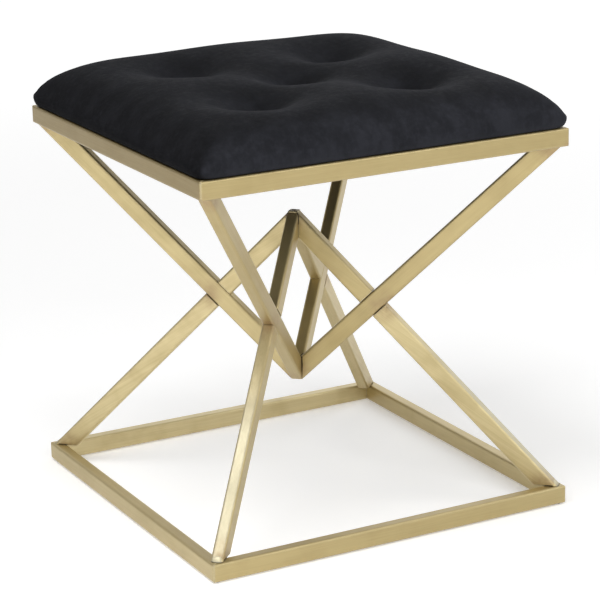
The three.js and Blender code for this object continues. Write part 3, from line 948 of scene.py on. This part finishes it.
class StoolCushion(bpy.types.Operator):
    """Builds the velvet cover with its five tufts, and the foam that fills it"""

    bl_idname = "stool.cushion"
    bl_label = "Build Cushion"

    def execute(self, context):
        mesh_size, turned_margin, cloth_thickness = 5.5 * MM, 38.5 * MM, 1 * MM
        settings = context.scene.stool_seat
        cover = cushion_form(settings)
        remesh(cover, mesh_size)
        apply_modifier(cover, "SMOOTH", factor=0.5, iterations=1)
        swell_cushion(cover, settings)
        self.fill_foam(copy_of(cover, "foam_core"))

        # The cover is open under the board, inside its turned margin.
        make_active(cover)
        bpy.ops.object.mode_set(mode="EDIT")
        open_half = COVER_HIGH.x - turned_margin
        select_faces(cover, lambda face: (
            face.normal.z < -0.9 and max(abs(face.center.x), abs(face.center.y)) < open_half
            and face.center.z < COVER_LOW.z + 3 * MM))
        bpy.ops.mesh.delete(type="FACE")
        bpy.ops.object.mode_set(mode="OBJECT")
        points = points_of(cover.data)
        points[:, 2] = np.maximum(points[:, 2], COVER_LOW.z)
        set_points(cover.data, points)
        apply_modifier(cover, "SUBSURF", levels=1, render_levels=1)
        apply_modifier(cover, "SOLIDIFY", thickness=cloth_thickness, offset=-1)
        make_active(cover)
        bpy.ops.object.shade_smooth()
        carry(cover, velvet(), ["seat_cover"])
        return {"FINISHED"}

    def fill_foam(self, foam):
        """Draws the foam in behind the cover, and cuts the board's room and the twines' channels."""
        behind_cover, play, room_depth, room_rounding = 1.3 * MM, 0.6 * MM, 30 * MM, 16.2 * MM
        channel_radius, channel_depth = 1.1 * MM, 80 * MM
        points = points_of(foam.data)
        points -= normals_of(foam.data) * behind_cover
        set_points(foam.data, points)
        deselect()
        bpy.ops.mesh.primitive_cube_add(size=1)
        room = begin("board_room")
        room.scale = (BOARD_HIGH.x * 2 + play, BOARD_HIGH.y * 2 + play, room_depth)
        room.location = (0, 0, BOARD_HIGH.z + play / 2 - room_depth / 2)
        settle(room)
        round_edges(room, 2, room_rounding, 5)
        for name in TUFTS:
            low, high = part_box(f"tuft_twine_{name}")
            middle = (low + high) / 2
            deselect()
            bpy.ops.mesh.primitive_cylinder_add(
                vertices=12, radius=channel_radius, depth=channel_depth,
                location=(middle.x, middle.y, BOARD_HIGH.z + channel_depth / 2 - 4 * MM))
            channel = settle(begin("twine_channel"))
            apply_modifier(room, "BOOLEAN", object=channel, operation="UNION", solver="EXACT")
            bpy.data.objects.remove(channel)
        apply_modifier(foam, "BOOLEAN", object=room, operation="DIFFERENCE", solver="EXACT")
        bpy.data.objects.remove(room)
        make_active(foam)
        bpy.ops.object.shade_smooth_by_angle(angle=SHARP_ANGLE)
        carry(foam, foam_block(), ["foam_pad"])


class StoolBoard(bpy.types.Operator):
    """Finishes the seat board and the dust cover under it"""

    bl_idname = "stool.board"
    bl_label = "Finish Board"

    def execute(self, context):
        dress(["seat_board"], plywood())
        dress(["dust_cover"], dust_sheet())
        return {"FINISHED"}


class StoolStaples(bpy.types.Operator):
    """Adds the staples that hold the dust cover to the board"""

    bl_idname = "stool.staples"
    bl_label = "Add Staples"

    def execute(self, context):
        length, width, thickness = 9.4 * MM, 1.1 * MM, 0.5 * MM
        end_length, end_rise, wear = 0.45 * MM, 0.42 * MM, 0.12 * MM
        level, edge = DUST_LOW.z - 0.2 * MM, DUST_HIGH.x - 6 * MM
        deselect()
        bpy.ops.mesh.primitive_cube_add(size=1)
        staple = begin("dust_cover_staples")
        staple.scale = (length, width, thickness)
        settle(staple)
        # The crown's ends turn up into the cloth.
        bpy.ops.object.mode_set(mode="EDIT")
        select_faces(staple, lambda face: abs(face.normal.x) > 0.9)
        bpy.ops.mesh.extrude_region_shrink_fatten(TRANSFORM_OT_shrink_fatten={"value": end_length})
        bpy.ops.object.mode_set(mode="OBJECT")
        points = points_of(staple.data)
        points[:, 2] += np.where(np.abs(points[:, 0]) > (length + end_length) / 2, end_rise, 0)
        set_points(staple.data, points)
        apply_modifier(staple, "BEVEL", width=wear, segments=2)
        copies = []
        for turn in range(4):
            for along in STAPLE_PLACES:
                matrix = turned(turn) @ Matrix.Translation((along * MM, -edge, level))
                copies.append(copy_of(staple, f"staple_{turn}_{along}", matrix))
        bpy.data.objects.remove(staple)
        make_active(copies[0])
        for piece in copies:
            piece.select_set(True)
        bpy.ops.object.join()
        staples = begin("dust_cover_staples")
        bpy.ops.object.shade_smooth_by_angle(angle=SHARP_ANGLE)
        carry(staples, zinc())
        return {"FINISHED"}


class StoolFittings(bpy.types.Operator):
    """Finishes the screws, the tuft ties and the glides"""

    bl_idname = "stool.fittings"
    bl_label = "Finish Fittings"

    def execute(self, context):
        screws = [f"seat_screw_{side}" for side in SIDES]
        washers = [f"tuft_washer_{tuft}" for tuft in TUFTS]
        dress(screws + washers, zinc())
        dress([f"tuft_twine_{tuft}" for tuft in TUFTS], thread())
        dress([f"floor_glide_{corner}" for corner in CORNERS], nylon())
        return {"FINISHED"}


# The stage
def camera_axes(settings):
    """The camera's right, up and back directions."""
    azimuth, elevation = settings.azimuth, settings.elevation
    back = Vector((
        math.sin(azimuth) * math.cos(elevation),
        -math.cos(azimuth) * math.cos(elevation),
        math.sin(elevation)))
    level = Vector((0, 0, 1)).cross(back).normalized()
    upright = back.cross(level)
    c, s = math.cos(settings.roll), math.sin(settings.roll)
    return c * level + s * upright, c * upright - s * level, back


def add_light(name, location, target, size, power):
    data = bpy.data.lights.new(name, "AREA")
    data.shape = "RECTANGLE"
    data.size, data.size_y = size
    data.energy = power
    light = bpy.data.objects.new(name, data)
    bpy.context.scene.collection.objects.link(light)
    light.location = location
    light.rotation_mode = "QUATERNION"
    light.rotation_quaternion = (Vector(location) - Vector(target)).to_track_quat("Z", "Y")


class StoolStage(bpy.types.Operator):
    """Sets the camera, a pale floor and soft studio light"""

    bl_idname = "stool.stage"
    bl_label = "Set Stage"

    def execute(self, context):
        settings = context.scene.stool_stage
        self.add_camera(settings)
        self.add_floor(settings)
        self.add_room(settings)
        for name, values in LAMPS.items():
            add_light(name, *values)
        context.scene.view_settings.view_transform = "Standard"
        return {"FINISHED"}

    def add_camera(self, settings):
        shift, lift = 0.42, 1.1 * MM
        right, up, back = camera_axes(settings)
        data = bpy.data.cameras.new("camera")
        data.lens = settings.lens
        data.sensor_width = 36
        data.clip_start, data.clip_end = 0.05, 60
        camera = bpy.data.objects.new("camera", data)
        bpy.context.scene.collection.objects.link(camera)
        location = back * settings.distance + up * settings.aim_height - right * shift * MM + UP * lift
        axes = Matrix((right, up, back)).transposed().to_4x4()
        camera.matrix_world = Matrix.Translation(location) @ axes
        bpy.context.scene.camera = camera

    def add_floor(self, settings):
        patch_middle, floor_reach = (-1.2, -0.65, 0), 14
        deselect()
        bpy.ops.mesh.primitive_circle_add(vertices=96, radius=floor_reach, fill_type="NGON")
        floor = begin("studio_floor")
        # A hair under the glides, so that no two faces share a plane.
        floor.location.z = -0.1 * MM
        material, tree, where = new_material("pale_floor")
        grain = noise(tree, where, 3.0, 3.0)
        shade = mix(
            tree, ramp(tree, grain, 0.3, 0.7, 0.0, 0.03), colour(settings.floor), (0.8, 0.8, 0.8, 1))
        # The floor glows a little more far away, and on a patch at the front left.
        glow = ramp(tree, vector_maths(tree, "LENGTH", where), 0.8, 3.2, 0.25, 0.6)
        to_patch = vector_maths(tree, "DISTANCE", where, patch_middle)
        glow = plus(tree, glow, ramp(tree, to_patch, 0.4, 1.3, 0.75, 0.0))
        finish_surface(material, {
            "Base Color": shade,
            "Roughness": 0.9,
            "Specular IOR Level": 0.1,
            "Emission Color": (1, 1, 1, 1),
            "Emission Strength": times(tree, background_seen(tree), glow),
        })
        floor.data.materials.append(material)

    def add_room(self, settings):
        world = bpy.data.worlds.new("studio_room")
        bpy.context.scene.world = world
        world.use_nodes = True
        tree = world.node_tree
        tree.nodes.clear()
        # The far side of the room, low down at the back right, is the paler one.
        way = node(tree, "ShaderNodeTexCoord").outputs["Generated"]
        towards = vector_maths(tree, "DOT_PRODUCT", way, (0.62, 0.74, 0.27))
        paler = times(tree, background_seen(tree), ramp(tree, towards, 0.30, 0.90, 0.0, 1.4))
        background = node(tree, "ShaderNodeBackground", {
            "Color": colour(settings.room), "Strength": plus(tree, paler, 1.0)})
        node(tree, "ShaderNodeOutputWorld", {"Surface": background.outputs[0]})


class StoolPanel(bpy.types.Panel):
    """Lists the stool's steps and settings"""

    bl_idname = "STOOL_PT_panel"
    bl_label = "Stool"
    bl_space_type = "VIEW_3D"
    bl_region_type = "UI"
    bl_category = "Stool"

    def draw(self, context):
        layout = self.layout
        for group in SETTINGS:
            box = layout.box()
            settings = getattr(context.scene, group)
            for key in settings.bl_rna.properties.keys():
                if key not in ("rna_type", "name"):
                    box.prop(settings, key)
        for operator in STEPS:
            layout.operator(operator.bl_idname)


STEPS = (
    StoolStage,
    StoolFrameFinish,
    StoolCornerSeams,
    StoolWelds,
    StoolCushion,
    StoolBoard,
    StoolStaples,
    StoolFittings,
)
SETTINGS = {
    "stool_metal": StoolMetalSettings,
    "stool_seat": StoolSeatSettings,
    "stool_stage": StoolStageSettings,
}
CLASSES = (*SETTINGS.values(), *STEPS, StoolPanel)


def register():
    for group in CLASSES:
        bpy.utils.register_class(group)
    for name, group in SETTINGS.items():
        setattr(bpy.types.Scene, name, PointerProperty(type=group))


def unregister():
    for name in SETTINGS:
        delattr(bpy.types.Scene, name)
    for group in reversed(CLASSES):
        bpy.utils.unregister_class(group)


def main():
    register()
    for step in STEPS:
        family, name = step.bl_idname.split(".")
        getattr(getattr(bpy.ops, family), name)()


if __name__ == "__main__":
    main()
